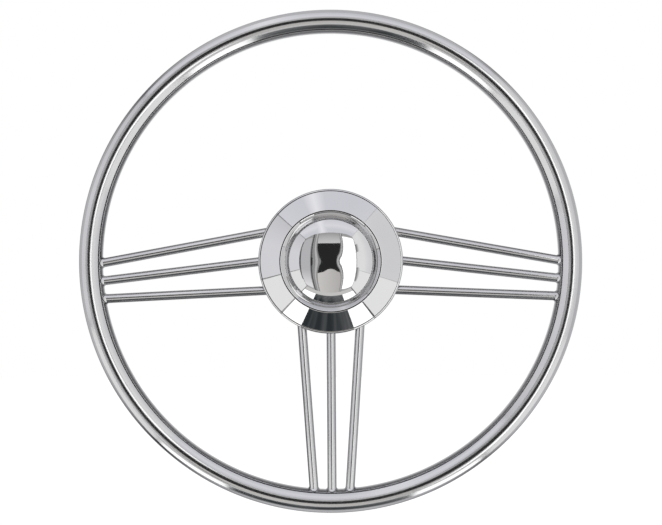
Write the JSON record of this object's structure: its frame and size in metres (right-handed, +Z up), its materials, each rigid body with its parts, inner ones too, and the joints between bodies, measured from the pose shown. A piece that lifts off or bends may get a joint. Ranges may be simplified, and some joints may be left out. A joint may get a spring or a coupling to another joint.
{
  "type": "boat steering wheel",
  "caption": "Polished stainless boat steering wheel: oval tube rim, rod spokes in groups, taper-bored hub, pressed hub cover and pull-off centre cap.",
  "frame": {"origin": "on the wheel's axis, in the rear face of the hub boss, where the large end of the taper bore opens", "axes": "+Z up as fitted, +Y along the wheel's axis towards the helm, so the front of the wheel faces -Y; +X to the right seen from the front"},
  "size_m": [0.4, 0.0635, 0.4],
  "materials": {
    "rim_steel": "mirror-polished stainless steel",
    "spoke_steel": "mirror-polished stainless steel",
    "cover_steel": "mirror-polished stainless steel",
    "cap_steel": "mirror-polished stainless steel",
    "plate_steel": "turned and lightly polished stainless steel",
    "boss_steel": "fine-turned stainless steel",
    "screw_steel": "plain stainless steel",
    "ring_rubber": "matt black rubber"
  },
  "bodies": {
    "wheel": {"rim_tube": "rim_steel", "spoke_left_upper": "spoke_steel", "spoke_left_middle": "spoke_steel", "spoke_left_lower": "spoke_steel", "spoke_right_upper": "spoke_steel", "spoke_right_middle": "spoke_steel", "spoke_right_lower": "spoke_steel", "spoke_bottom_left": "spoke_steel", "spoke_bottom_middle": "spoke_steel", "spoke_bottom_right": "spoke_steel", "spoke_plate": "plate_steel", "hub_boss": "boss_steel", "hub_cover": "cover_steel", "cover_screws": "screw_steel"},
    "cap": {"centre_cap": "cap_steel", "cap_ring": "ring_rubber"}
  },
  "joints": [
    {"name": "cap_pull", "type": "slide", "parent": "wheel", "child": "cap", "axis": [0, -1, 0], "range_m": [0, 0.012]}
  ]
}
